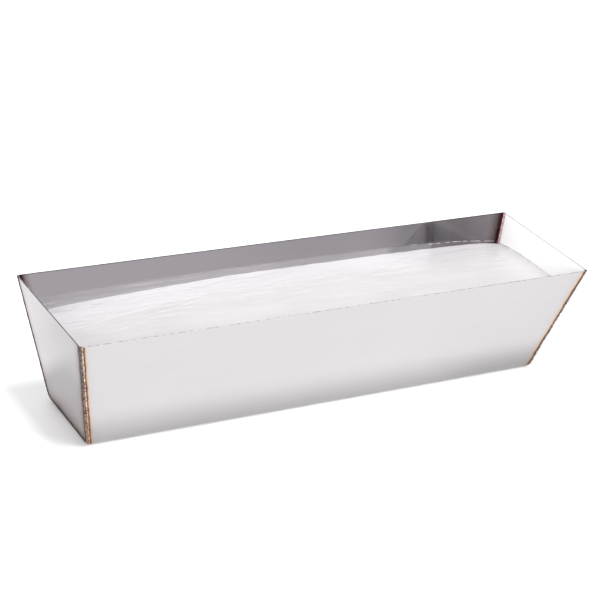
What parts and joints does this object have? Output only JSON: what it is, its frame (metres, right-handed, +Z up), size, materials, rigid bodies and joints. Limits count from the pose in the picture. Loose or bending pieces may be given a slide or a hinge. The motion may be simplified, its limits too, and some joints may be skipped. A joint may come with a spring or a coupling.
{
  "type": "drywall mud pan",
  "caption": "Stainless steel drywall mud pan: a folded trough with leaning walls, a flat plate welded across each end, filled with joint compound to just below the rim.",
  "frame": {"origin": "centre of the underside, on the surface the pan rests on", "axes": "+Z up, X along the pan's length, Y across it; the left end in the usual three-quarter view is at -X and the front side at -Y"},
  "size_m": [0.407, 0.109, 0.0892],
  "materials": {
    "sheet_steel": "thin stainless sheet with a fine satin mill finish",
    "weld_bead": "weld bead, rippled and heat-tinted brown",
    "joint_compound": "wet white joint compound with trowel marks"
  },
  "bodies": {
    "root": {"trough": "sheet_steel", "left_end_plate": "sheet_steel", "right_end_plate": "sheet_steel", "front_left_weld": "weld_bead", "bottom_left_weld": "weld_bead", "back_left_weld": "weld_bead", "front_right_weld": "weld_bead", "bottom_right_weld": "weld_bead", "back_right_weld": "weld_bead", "joint_compound": "joint_compound"}
  },
  "joints": []
}
